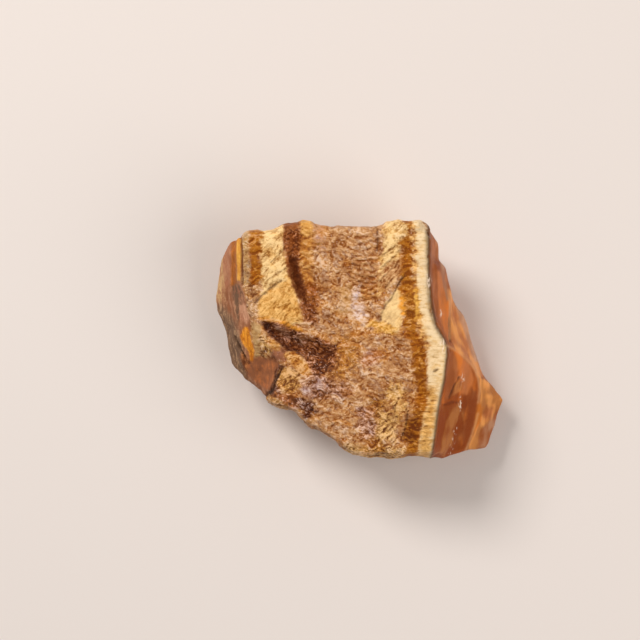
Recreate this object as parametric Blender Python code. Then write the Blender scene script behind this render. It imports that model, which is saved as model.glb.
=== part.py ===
"""Rough tiger's eye: a thick slab of banded fibrous quartz with a layer of red jasper
down its right side and a weathered ironstone rind down its left.

The bands stand on edge, so each one is a plane that runs from the front wall to the back.
The stone is built from its break lines. An upper shell and a lower shell share the girth,
the widest line round the stone. The shell is then roughened the way each mineral breaks,
thinned to facets and cut flat where it rests.
X runs across the bands, Y along them, Z up. The origin is under the middle of the stone.
"""

import math

import bmesh
import bpy
import numpy as np
from mathutils import Vector, noise
from mathutils.geometry import delaunay_2d_cdt

MM = 0.001

# --- driving dimensions, metres ---
LENGTH = 0.0824         # X, from the rind to the jasper tip
WIDTH = 0.0680          # Y, along the bands
THICKNESS = 0.0300      # Z, flat base to the highest point of the face
REST_CUT = 0.0006       # how much is taken off the underside to leave the flat base
VOXEL = 0.0006          # grid the shells are fused on
HACKLE = 0.00030        # roughness of the fibrous quartz, half height
LEDGE = 0.00045         # how far one band stands proud of the next, half height
SCALLOP = 0.00060       # depth of the shell-shaped flakes in the jasper
RIND_LUMP = 0.00045     # roughness of the weathered rind, half height
FACETS = 9000           # triangles left after thinning

# --- the plan sheet ---
# The upper side is drawn on a square sheet of 640 by 640 pixels, as an eye high over the stone
# sees it: pixels to the right, pixels down, and the height in millimetres.
SHEET_MIDDLE = 320.0    # pixels, both ways
PIXEL = 0.28            # millimetres on the stone, at the height FOCUS
FOCUS = 28.0            # millimetres
EYE = (-11.34, 5.6, 928.0)              # millimetres, over the middle of the sheet

# --- break lines of the upper side, on the plan sheet ---
# The girth: the outline seen from above, clockwise from the top left corner.
GIRTH = [
    (236, 238, 20), (228, 244, 17), (222, 258, 15), (219, 276, 14), (216, 298, 13),
    (218, 314, 13), (225, 331, 13), (228, 348, 13), (233, 365, 13), (242, 374, 14),
    (254, 383, 15), (262, 391, 16), (266, 399, 18), (279, 408, 20), (292, 410, 21),
    (304, 418, 21), (314, 429, 20), (332, 439.5, 20), (346, 449.5, 20), (353, 454.5, 20),
    (370, 457.5, 19), (384, 459, 19), (403, 457, 19), (418, 457, 18), (431, 459.5, 16),
    (443, 460.5, 15), (457, 456, 13), (467, 452, 11), (486, 449, 8.5), (492, 434, 8),
    (498, 417, 8), (504.5, 401, 9), (496, 390.5, 9), (482, 374, 9), (476, 357, 9.5),
    (470, 339, 10), (464, 317, 11), (452, 299, 13), (447, 284, 14), (446, 268, 15),
    (438, 260, 18), (437.5, 242, 19), (431, 229, 21), (420, 219.5, 25), (404, 221, 25),
    (383, 224, 25), (365, 227.5, 25), (345, 227, 25), (318, 224, 25), (296, 222, 24.5),
    (284, 223, 25.5), (275, 229, 25), (262, 231, 24), (249, 231.5, 23.5),
]
# The rim of the broad banded face.
FACE_RIM = [
    (241, 238, 27.2), (250, 234.5, 27.8), (262, 233.5, 28.3), (275, 231.5, 29), (284, 226, 29.3),
    (297, 224.5, 27.6), (318, 226.5, 28.2), (345, 229, 28), (365, 229.5, 28.2),
    (383, 226.5, 28.8), (404, 223, 29.2), (417, 221.5, 29.2), (420, 232, 28.6),
    (426.5, 238, 28.7), (427, 270, 28.8), (429, 300, 29), (434, 325, 29.3), (446.5, 348.5, 29.5),
    (443.5, 378, 29), (438, 408, 28), (432, 450, 26.2), (418, 453, 25.8), (390, 452.5, 25.2),
    (353, 450.5, 24.8), (340, 442.5, 25), (315, 426, 25), (304, 415.5, 25), (290, 407.5, 25.2),
    (271, 400, 24.8), (273, 388, 25.2), (281, 370, 26), (277, 353, 26.5), (262, 338, 26.8),
    (257, 322, 27.3), (248, 298, 27.2), (243, 280, 27.4), (242, 255, 27.5),
]
# The cream plateau ends in a step, with a crease running along its foot.
PLATEAU_EDGE = [
    (284, 226, 29.3), (283, 240, 29.6), (286, 258, 29.8), (290, 276, 29.8), (295, 292, 29.6),
    (301, 309, 29.2), (306, 321, 28.2),
]
CREASE_FOOT = [
    (297, 224.5, 27.6), (296, 242, 27), (296, 260, 26.3), (300, 280, 26), (306, 298, 26.3),
    (311, 312, 27.3),
]
# The pit: a long hollow that opens out to the lower right.
PIT_RIM = [
    (261, 322, 27.2), (272, 321.5, 27.6), (284, 326, 27.8), (299, 333, 27.8), (320, 338, 27.6),
    (338, 347, 27.2), (336, 362, 26.8), (322, 377, 26.4), (311, 366, 26.4), (301, 356, 26.6),
    (286, 348, 26.6), (272, 337, 26.7),
]
PIT_FLOOR = [
    (266, 325, 25.4), (278, 332, 23.8), (292, 342, 23), (308, 349, 23.3), (322, 357, 24.6),
]
# Gentle swells and hollows of the face.
SWELL = [(322, 240, 28.9), (326, 275, 29), (335, 300, 28.7)]
VALLEY = [(350, 242, 27.6), (352, 270, 27.3), (360, 300, 27.4), (372, 325, 28)]
LOWER_SWELL = [(345, 395, 27), (375, 410, 26.9), (400, 428, 26.6)]
# The weathered side: a fold, and a smooth pocket below it.
LEFT_FOLD = [
    (232, 250, 23.5), (231, 268, 22), (233, 287, 21.5), (237, 305, 22), (239, 325, 21.5),
    (241, 343, 21), (246, 357, 20.5),
]
RED_POCKET = [
    (248, 367, 18), (256, 358.5, 21.5), (270, 359, 23.5), (279, 363, 24.3), (271, 386, 21.5),
    (264, 388, 19.5), (256, 381, 17.5),
]
# The jasper: its top edge sits a few millimetres below the face.
JASPER_TOP = [
    (423, 224, 25.5), (429, 240, 25.2), (430, 262, 24.7), (431, 285, 24.3), (432, 305, 24.3),
    (438, 325, 24.4), (449, 346, 24.8), (448, 372, 24.3), (444.5, 392, 23.8), (441, 411, 23),
    (435.5, 450, 21),
]
STEP = [(431, 269, 23.5), (437, 264, 22), (443, 268, 18)]
RIB = [(438, 276, 21.5), (438, 300, 21), (443, 325, 21)]
RIB_FOOT = [(449, 293, 16), (449.5, 318, 17), (450.5, 336, 20)]
SHOULDER = [(449, 346, 24.8), (455, 350, 22.8), (465, 358.5, 20), (473, 367, 17), (479, 378, 15)]
RIDGE = [(479, 378, 15), (479.5, 395, 15), (476, 418, 14.5), (471, 438, 13.5), (465.5, 450, 12)]
HOLLOW = [(462, 383, 18.4), (460, 410, 17), (453, 448, 15.3)]

# --- lines placed straight in millimetres, (x, y, z) ---
# A gentle swell along the right of the face.
RIGHT_SWELL = [(10.5, 27.0, 29.5), (9.5, 15.0, 29.4), (14.5, 3.0, 29.3), (16.0, -10.0, 28.6)]
# The underside: a chin where the wall turns in, single high spots on the wall between it
# and the girth, and the ring round the resting face.
CHIN = [
    (-27, 23, 9), (-36.5, 12, 5), (-34, -1, 4.5), (-26, -9.5, 8), (-17, -17, 5),
    (-4, -25, 8), (8, -31, 6), (21, -29, 4), (34, -26, 3.5), (36.5, -17, 3), (30, -6, 3.5),
    (26, 3, 5), (22, 14, 5), (18, 25, 10), (6, 29.5, 5), (-9, 29, 11), (-20, 29, 6),
]
KNUCKLES = [
    (-39.2, 9, 8), (-37, 18, 10), (-34.6, -6.5, 9), (-20.5, -18.6, 13), (-10, -26.2, 12),
    (3, -32.4, 13), (16, -32.2, 9), (28, -31.6, 7), (31.4, -3.5, 6), (28, 6.5, 7),
    (21.3, 24.5, 12), (11, 32.4, 15), (-4, 31, 18), (-16, 31.9, 13), (-30, 28.6, 16),
]
REST_RING = [
    (-25, 17, 0), (-28, 8, 0), (-23, 2, 0), (-24, -5, 0), (-14, -9, 0), (-10, -15, 0),
    (2, -18, 0), (9, -24, 0), (20, -22, 0), (28, -18, 0), (24, -9, 0), (25, -2, 0), (19, 3, 0),
    (19, 11, 0), (14, 19, 0), (4, 17, 0), (-5, 22, 0), (-16, 18, 0),
]
# Where each band ends across the face, and how far the bands bend sideways along Y.
BAND_EDGES = [-32.9, -28.1, -21.4, -17.2, -13.3, -7.0, -2.4, 2.7, 6.9, 11.6, 15.0, 18.6]
BEND = [(-34, 0.8), (-19, 2.6), (-10.6, 4.3), (-2.4, 5.2), (0, 4.4), (4.2, 2.0), (11, 0.5),
        (20, 0.0), (34, 0.0)]
BEND_FROM, BEND_FULL = -18.0, 16.0      # the bend fades out towards the rind
RIND_X = -31.5                          # weathered rind lies left of this
SEED = 7


def placed(line):
    """A line of the plan sheet, in millimetres in the part's own frame."""
    points = []
    for right, down, height in line:
        scale = PIXEL * (EYE[2] - height) / (EYE[2] - FOCUS)
        points.append((EYE[0] + (right - SHEET_MIDDLE) * scale,
                       EYE[1] - (down - SHEET_MIDDLE) * scale, height))
    return points


def shell(lines, loop):
    """Height field through named break lines, triangulated inside a closed outline."""
    flat, heights, index = [], [], {}

    def corner(point):
        key = (round(point[0], 1), round(point[1], 1))
        if key not in index:
            index[key] = len(flat)
            flat.append(Vector(key))
            heights.append(point[2])
        return index[key]

    ring = [corner(p) for p in loop]
    edges = list(zip(ring, ring[1:] + ring[:1]))
    for line in lines:
        run = [corner(p) for p in line]
        edges += list(zip(run, run[1:]))
    found, _, faces, sources, _, _ = delaunay_2d_cdt(flat, edges, [ring], 1, 1e-4)
    points = [(v.x, v.y, heights[s[0]]) for v, s in zip(found, sources)]
    return points, [list(f) for f in faces]


def closed(line):
    return line + line[:1]


def stone_shells():
    """The upper and lower shell, joined along the girth, as one closed mesh in metres."""
    upper = [closed(FACE_RIM), PLATEAU_EDGE, CREASE_FOOT, closed(PIT_RIM), PIT_FLOOR, SWELL,
             VALLEY, LOWER_SWELL, LEFT_FOLD, closed(RED_POCKET), JASPER_TOP, STEP, RIB,
             RIB_FOOT, SHOULDER, RIDGE, HOLLOW]
    upper = [placed(line) for line in upper] + [RIGHT_SWELL]
    lower = [closed(CHIN), closed(REST_RING)] + [[knuckle] for knuckle in KNUCKLES]
    mesh = bmesh.new()
    for lines, up in ((upper, True), (lower, False)):
        points, faces = shell(lines, placed(GIRTH))
        corners = [mesh.verts.new(Vector(p) * MM) for p in points]
        for face in faces:
            loop = [corners[i] for i in face]
            a, b, c = (v.co for v in loop[:3])
            facing_up = (b - a).cross(c - a).z > 0
            mesh.faces.new(loop if facing_up == up else loop[::-1])
    bmesh.ops.remove_doubles(mesh, verts=mesh.verts, dist=0.02 * MM)
    bmesh.ops.triangulate(mesh, faces=mesh.faces)
    bmesh.ops.recalc_face_normals(mesh, faces=mesh.faces)
    return mesh


def evaluated(obj):
    """A copy of the object's mesh with its modifiers applied."""
    graph = bpy.context.evaluated_depsgraph_get()
    graph.update()
    return bpy.data.meshes.new_from_object(obj.evaluated_get(graph))


def in_order(mesh):
    """The same mesh with its corners and faces in a fixed order, so thinning repeats exactly."""
    places = [tuple(round(c, 8) for c in v.co) for v in mesh.vertices]
    order = sorted(range(len(places)), key=places.__getitem__)
    rank = {old: new for new, old in enumerate(order)}
    faces = []
    for face in mesh.polygons:
        loop = [rank[i] for i in face.vertices]
        first = loop.index(min(loop))
        faces.append(loop[first:] + loop[:first])
    tidy = bpy.data.meshes.new("ordered")
    tidy.from_pydata([places[i] for i in order], [], sorted(faces))
    return tidy


def bend_at(x, y):
    ys, shift = zip(*BEND)
    fade = min(max((x - BEND_FROM) / (BEND_FULL - BEND_FROM), 0.0), 1.0)
    return fade * float(np.interp(y, ys, shift))


def blend(value, start, end):
    t = min(max((value - start) / (end - start), 0.0), 1.0)
    return t * t * (3.0 - 2.0 * t)


def ledge_height(across):
    """Each band stands at its own height, with a short slope between neighbours."""
    height = 0.0
    for i, edge in enumerate(BAND_EDGES):
        jump = math.sin(2.4 * i + 0.9) - math.sin(2.4 * (i - 1) + 0.9)
        height += jump * blend(across, edge - 0.35, edge + 0.35)
    return height


def relief(point, normal):
    """How far the surface moves along its normal, metres, by the mineral that is there."""
    x, y, z = point
    across = x - bend_at(x, y)
    here = Vector((x, y, z))
    seed = Vector((SEED, 3.1 * SEED, 0.7 * SEED))
    jasper = blend(across, 18.9, 19.7) * blend(28.6 - z, 0.0, 2.0)
    rind = blend(-across, -RIND_X, -RIND_X + 2.0)
    quartz = (1.0 - jasper) * (1.0 - rind)

    # Fibres lie across the bands, so the broken quartz is grained along X.
    fibres = Vector((0.12 * x + 0.10 * y, 0.42 * y, 0.42 * z)) + seed
    grain = noise.fractal(fibres, 0.9, 2.1, 4)
    lumps = noise.noise(here * 0.13 + seed)
    hackle = HACKLE * (1.3 * grain + 0.9 * lumps)
    ledges = LEDGE * ledge_height(across + 0.5 * noise.noise(here * 0.3 + seed))
    ledges *= 0.45 + 0.55 * (1.0 - abs(normal.z))

    # The walls of the quartz break in steps that climb at a slant.
    stair = 0.34 * z + 0.06 * x + 1.1 * noise.noise(here * 0.09 - seed)
    steps = HACKLE * 2.2 * (blend(stair - math.floor(stair), 0.35, 0.65) - (stair - math.floor(stair)))
    steps *= 1.0 - abs(normal.z)

    # Jasper breaks in shallow shell-shaped flakes, longer along Y.
    flake = Vector((0.17 * x, 0.085 * y, 0.14 * z)) + seed + 0.3 * noise.noise_vector(here * 0.06)
    near = noise.voronoi(flake)[0][0]
    scallop = SCALLOP * (1.9 * near * near - 0.45)

    # The rind is lumpy and drawn out along Y.
    skin = Vector((0.30 * x, 0.09 * y, 0.22 * z)) - seed
    rough = RIND_LUMP * (1.5 * noise.fractal(skin, 0.8, 2.0, 3) + 0.5 * noise.noise(here * 0.5))
    move = quartz * (hackle + ledges + steps) + jasper * scallop + rind * rough
    return move * blend(z, 0.0, 2.5)    # the resting face stays flat


def roughened(mesh):
    count = len(mesh.vertices)
    normals = [v.normal.copy() for v in mesh.vertices]
    places = [v.co / MM for v in mesh.vertices]
    moves = np.array([relief(places[i], normals[i]) for i in range(count)])
    for i in range(count):
        mesh.vertices[i].co += normals[i] * float(moves[i])
    mesh.update()


def sized(mesh):
    """Set on its flat base, centred, and brought to the stated length, width and thickness."""
    xyz = np.array([v.co for v in mesh.verts])
    low, high = xyz.min(axis=0), xyz.max(axis=0)
    cut = low[2] + REST_CUT
    geometry = mesh.verts[:] + mesh.edges[:] + mesh.faces[:]
    bmesh.ops.bisect_plane(mesh, geom=geometry, dist=1e-7, plane_co=(0, 0, cut),
                           plane_no=(0, 0, 1), clear_inner=True)
    rim = [e for e in mesh.edges if e.is_boundary]
    bmesh.ops.holes_fill(mesh, edges=rim)
    bmesh.ops.triangulate(mesh, faces=[f for f in mesh.faces if len(f.verts) > 3])
    middle = (low + high) / 2.0
    scale = np.array([LENGTH, WIDTH, THICKNESS]) / (high - np.array([low[0], low[1], cut]))
    for v in mesh.verts:
        v.co = Vector(((v.co.x - middle[0]) * scale[0], (v.co.y - middle[1]) * scale[1],
                       (v.co.z - cut) * scale[2]))
    print("shift mm", np.round(middle * 1000, 2), "scale", np.round(scale, 4))


def stone_material():
    mat = bpy.data.materials.new("banded_quartz")
    mat.use_nodes = True
    bsdf = mat.node_tree.nodes["Principled BSDF"]
    bsdf.inputs["Base Color"].default_value = (0.36, 0.19, 0.07, 1.0)
    bsdf.inputs["Roughness"].default_value = 0.5
    return mat


noise.seed_set(SEED)
for old in list(bpy.data.objects):
    bpy.data.objects.remove(old, do_unlink=True)

shells = stone_shells()
base = bpy.data.meshes.new("shells")
shells.to_mesh(base)
shells.free()

fused = bpy.data.objects.new("fused", base)
bpy.context.scene.collection.objects.link(fused)
grid = fused.modifiers.new("fuse", "REMESH")
grid.mode, grid.voxel_size, grid.adaptivity = "VOXEL", VOXEL, 0.0
dense = in_order(evaluated(fused))
roughened(dense)

fused.modifiers.clear()
fused.data = dense
thin = fused.modifiers.new("thin", "DECIMATE")
thin.ratio = FACETS / sum(len(p.vertices) - 2 for p in dense.polygons)
facetted = evaluated(fused)
bpy.data.objects.remove(fused, do_unlink=True)

solid = bmesh.new()
solid.from_mesh(facetted)
sized(solid)
bmesh.ops.recalc_face_normals(solid, faces=solid.faces)
final = bpy.data.meshes.new("tigers_eye_stone")
solid.to_mesh(final)
solid.free()

stone = bpy.data.objects.new("tigers_eye_stone", final)
bpy.context.scene.collection.objects.link(stone)
final.materials.append(stone_material())
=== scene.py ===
# %% [markdown]
# # A rough tiger's eye, from its imported solid to its looks
#
# The stone is one natural piece. Its imported solid already has the main facets, ledges, pit and
# crease. This lesson makes a finer skin over that solid, roughens it the way each of its three
# minerals breaks, paints the bands and patches by listed outlines, and lights it from above.
#
# Lengths are in millimetres, in the part's own frame: X across the bands, Y along them, Z up out
# of the broad face. The outlines of the patches are drawn on a square sheet, and a later step
# turns them into that frame.
#
# The stone could be modelled here once more, but then the two might differ in size. Loading the
# imported solid and dressing it keeps both in one frame.

import math

import bmesh
import bpy
import numpy as np
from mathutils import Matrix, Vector, noise


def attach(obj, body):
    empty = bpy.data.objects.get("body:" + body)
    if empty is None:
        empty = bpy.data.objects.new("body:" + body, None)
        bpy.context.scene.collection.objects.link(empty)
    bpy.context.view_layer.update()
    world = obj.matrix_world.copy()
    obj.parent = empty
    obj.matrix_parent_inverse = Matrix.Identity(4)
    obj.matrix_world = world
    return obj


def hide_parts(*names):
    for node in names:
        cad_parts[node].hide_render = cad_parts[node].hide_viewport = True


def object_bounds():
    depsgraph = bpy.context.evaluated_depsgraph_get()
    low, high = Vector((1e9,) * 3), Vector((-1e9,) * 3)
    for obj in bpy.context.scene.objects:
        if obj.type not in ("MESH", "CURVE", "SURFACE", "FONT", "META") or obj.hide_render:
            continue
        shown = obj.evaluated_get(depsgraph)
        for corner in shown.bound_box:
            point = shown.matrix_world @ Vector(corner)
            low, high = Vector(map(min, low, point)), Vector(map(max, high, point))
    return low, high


MM = 0.001
SEED = 11
noise.seed_set(SEED)

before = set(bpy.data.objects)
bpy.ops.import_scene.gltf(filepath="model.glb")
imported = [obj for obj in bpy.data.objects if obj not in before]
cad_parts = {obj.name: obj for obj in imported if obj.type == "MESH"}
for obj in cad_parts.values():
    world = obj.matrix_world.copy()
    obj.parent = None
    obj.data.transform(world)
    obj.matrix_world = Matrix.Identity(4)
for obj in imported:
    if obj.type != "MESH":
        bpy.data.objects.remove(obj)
cad_low, cad_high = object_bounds()
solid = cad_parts["tigers_eye_stone"]
print("packed solid", [round(v / MM, 1) for v in cad_high - cad_low], "mm")

# %% [markdown]
# ## A fine skin
#
# The solid has about nine thousand facets, too few to carry grains half a millimetre across.
# Subdividing it would keep its long thin triangles, and they would show as creases once the
# stone is roughened. A voxel remesh lays an even net of small faces over the same form instead.

# %% Remesh the solid
SKIN_VOXEL = 0.45               # millimetres
WELD = 0.01                     # millimetres, joins the solid's loose triangles


def evaluated(obj):
    """A copy of the object's mesh with its modifiers applied."""
    graph = bpy.context.evaluated_depsgraph_get()
    graph.update()
    return bpy.data.meshes.new_from_object(obj.evaluated_get(graph))


welded = bmesh.new()
welded.from_mesh(solid.data)
bmesh.ops.remove_doubles(welded, verts=welded.verts, dist=WELD * MM)
coarse = bpy.data.meshes.new("tigers_eye_skin")
welded.to_mesh(coarse)
welded.free()
skin = bpy.data.objects.new("tigers_eye", coarse)
bpy.context.scene.collection.objects.link(skin)
net = skin.modifiers.new("net", "REMESH")
net.mode, net.voxel_size, net.adaptivity = "VOXEL", SKIN_VOXEL * MM, 0.0
net.use_smooth_shade = True
fine = evaluated(skin)
skin.modifiers.clear()
skin.data = fine

count = len(fine.vertices)
xyz = np.empty(count * 3)
fine.vertices.foreach_get("co", xyz)
xyz = xyz.reshape(-1, 3) / MM
print("skin", count, "corners,", 2 * len(fine.polygons), "triangles")

# %% [markdown]
# ## The drawing sheet, and measuring against its lines
#
# Bands, stains and cracks are placed as outlines and lines on a sheet of 640 by 640 pixels, as an
# eye high over the stone sees it. The part's own source draws its break lines on the same sheet.
# `placed` turns a line into millimetres: it needs the height of the stone there, because higher
# places look a little larger. Two helpers then measure how far each corner of the skin is from
# such a line. Another makes a smooth step, and the last a repeatable random field, stretched along
# whichever axis the mineral is grained.
#
# Painting with a brush would work too. Outlines were chosen because each can be named, read and
# moved by itself.

# %% The sheet, distances, steps and random fields
SHEET = 640                     # pixels, both ways
PIXEL = 0.28                    # millimetres on the stone, at the height FOCUS
FOCUS = 28.0                    # millimetres
EYE = (-11.34, 5.6, 928.0)      # millimetres, over the middle of the sheet


def placed(line, height):
    """A line of the sheet (pixels to the right, pixels down), in millimetres."""
    scale = PIXEL * (EYE[2] - height) / (EYE[2] - FOCUS)
    return [(EYE[0] + (right - SHEET / 2) * scale, EYE[1] - (down - SHEET / 2) * scale)
            for right, down in line]


def line_distance(points, line):
    """Millimetres from each point to an open line."""
    nearest = np.full(len(points), np.inf)
    for a, b in zip(line, line[1:]):
        a, edge = np.array(a, float), np.subtract(b, a)
        along = np.clip((points - a) @ edge / (edge @ edge), 0.0, 1.0)
        nearest = np.minimum(nearest, np.linalg.norm(points - a - along[:, None] * edge, axis=1))
    return nearest


def inside_distance(points, outline):
    """Millimetres from each point to a closed outline, positive inside it."""
    ring = outline + outline[:1]
    inside = np.zeros(len(points), bool)
    for (ax, ay), (bx, by) in zip(ring, ring[1:]):
        spans = (ay > points[:, 1]) != (by > points[:, 1])
        crossing = ax + (points[:, 1] - ay) * (bx - ax) / ((by - ay) or 1.0)
        inside ^= spans & (points[:, 0] < crossing)
    return np.where(inside, 1.0, -1.0) * line_distance(points, ring)


def step(value, start, end):
    """A smooth step from 0 at start to 1 at end."""
    t = np.clip((value - start) / (end - start), 0.0, 1.0)
    return t * t * (3.0 - 2.0 * t)


ROUGHNESS, LACUNARITY = 0.8, 2.0


def random_field(stretch, shift=0.0, octaves=2):
    """Noise about zero at every corner; stretch is cycles a millimetre along X, Y and Z.

    Fields with different shifts read different parts of the noise.
    """
    places = xyz * np.array(stretch) + SEED + shift
    return np.array([noise.fractal(Vector(p), ROUGHNESS, LACUNARITY, octaves) for p in places])


plan = xyz[:, :2]
print("sheet %.0f mm wide at the height of the face" % (SHEET * PIXEL))

# %% [markdown]
# ## Which mineral is where
#
# The bands are planes that stand on edge, and they swing sideways near the middle of the stone.
# `across` is the distance across the bands with that swing taken out, so the jasper starts where
# `across` passes one number. The rind covers everything left of one outline.
#
# The three minerals could be three pieces side by side. They are masks from 0 to 1 on one skin,
# because the stone grew as one. Three random fields wait here for later steps: `lumpy` has no
# grain, `fingers` reach across the bands like fibres, and `drawn`, which also frays the border of
# the rind, is drawn out along the bands.

# %% The swing of the bands, the jasper and the rind
BEND_Y = [-34, -19, -10.6, -2.4, 0, 4.2, 11, 20]
BEND_X = [0.8, 2.6, 4.3, 5.2, 4.4, 2.0, 0.5, 0.0]
BEND_FROM, BEND_FULL = -18.0, 16.0      # along X, the swing fades out towards the rind
JASPER_FROM = 19.4
BORDER = 0.3                            # half width of the borders of the minerals
RIND_FRAY = 0.5
LUMPS = (0.22, 0.22, 0.22)              # these four in cycles a millimetre along X, Y and Z
LONG_FINGERS = (0.22, 0.75, 0.75)
SHORT_FINGERS = (0.5, 1.8, 1.8)
DRAWN = (0.9, 0.22, 0.5)
RIND_OUTLINE = [
    (-60, 60), (-33.6, 40), (-33.3, 24), (-33.0, 15), (-32.2, 10.5), (-31.4, 6.2), (-30.6, 4.8),
    (-30.9, 2.2), (-30.0, -1.1), (-30.0, -5.0), (-27.6, -4.6), (-22.7, -6.2), (-23.9, -9.3),
    (-25.0, -13.0), (-26.4, -15.5), (-30, -24), (-60, -24),
]

fade_in = np.clip((xyz[:, 0] - BEND_FROM) / (BEND_FULL - BEND_FROM), 0, 1)
across = xyz[:, 0] - np.interp(xyz[:, 1], BEND_Y, BEND_X) * fade_in
lumpy = random_field(LUMPS, 3.0)
fingers = 1.3 * random_field(LONG_FINGERS, 7.0) + 0.8 * random_field(SHORT_FINGERS, 9.0)
drawn = random_field(DRAWN, 13.0, 3)
jasper = step(across, JASPER_FROM - BORDER, JASPER_FROM + BORDER)
rind = step(inside_distance(plan, RIND_OUTLINE) + RIND_FRAY * drawn, -BORDER, BORDER)
rind *= 1.0 - jasper
print("jasper %.0f%%, rind %.0f%% of the skin" % (100 * jasper.mean(), 100 * rind.mean()))

# %% [markdown]
# ## Bands and patches
#
# A stone like this has few colours, and they come back in patch after patch. So the tones are
# named once, as screen values from 0 to 255, and so are the textures: how grainy the quartz is,
# how far its fibres lie on the diagonal, and its contrast. The rind and the jasper use only the
# contrast.
#
# A wave texture could draw even stripes with less work. These bands are uneven, and are broken by
# a pit, a crease and stains, so each patch has an outline of its own.

# %% Tones and textures
TONES = {
    # pale quartz
    "ivory": (245, 215, 170),
    "cream": (250, 210, 145),
    # the colour of painted highlights and glints
    "highlight_white": (240, 210, 195),
    "straw": (245, 190, 110),
    "yellow": (245, 185, 85),
    "gold": (230, 170, 90),
    "sand": (225, 175, 120),
    "shell": (220, 165, 130),
    "oat": (215, 175, 120),
    # golden and brown quartz
    "honey": (220, 155, 70),
    "bronze": (205, 135, 40),
    "clay": (205, 130, 75),
    "biscuit": (200, 155, 105),
    "putty": (180, 140, 105),
    "ochre": (180, 115, 40),
    "toffee": (170, 115, 55),
    "olive": (160, 112, 65),
    "umber": (150, 85, 35),
    "russet": (145, 75, 10),
    "bark": (120, 65, 30),
    "rust": (115, 55, 15),
    "chestnut": (90, 40, 15),
    "soot": (65, 25, 10),
    # rind
    "rose": (190, 135, 100),
    "dusk": (170, 110, 80),
    "cocoa": (145, 90, 60),
    "slate": (115, 85, 65),
    # jasper and iron
    "apricot": (240, 160, 85),
    "flame": (235, 130, 50),
    "brick": (195, 115, 65),
    "marigold": (250, 165, 50),
    "amber": (195, 110, 30),
    "copper": (180, 110, 55),
    "terracotta": (160, 85, 40),
    "oxblood": (145, 65, 20),
}
TEXTURES = {
    "tangled": (0.9, 0.2, 1.15),
    "curly": (0.8, 0.2, 0.95),
    "matted": (0.5, 0.2, 1.0),
    "slanted": (0.5, 0.7, 1.3),
    "columns": (0.3, 0.0, 0.95),
    "combed": (0.15, 1.0, 1.1),
    "brushed": (0.1, 1.0, 0.8),
    "calm": (0.1, 0.1, 0.8),
    "streaky": (0.0, 0.0, 1.15),
    "cloudy": (0.0, 0.0, 0.7),
    "glassy": (0.0, 0.0, 0.45),
}
print(len(TONES), "tones and", len(TEXTURES), "textures")

# %% [markdown]
# Each row names a patch and gives the height of the stone there, its light and its dark tone,
# its texture, the softness and the raggedness of its edge, and its outline on the sheet. An
# outline drawn past the rim carries its colour down the wall, which is how a band runs through
# the stone.

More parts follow.
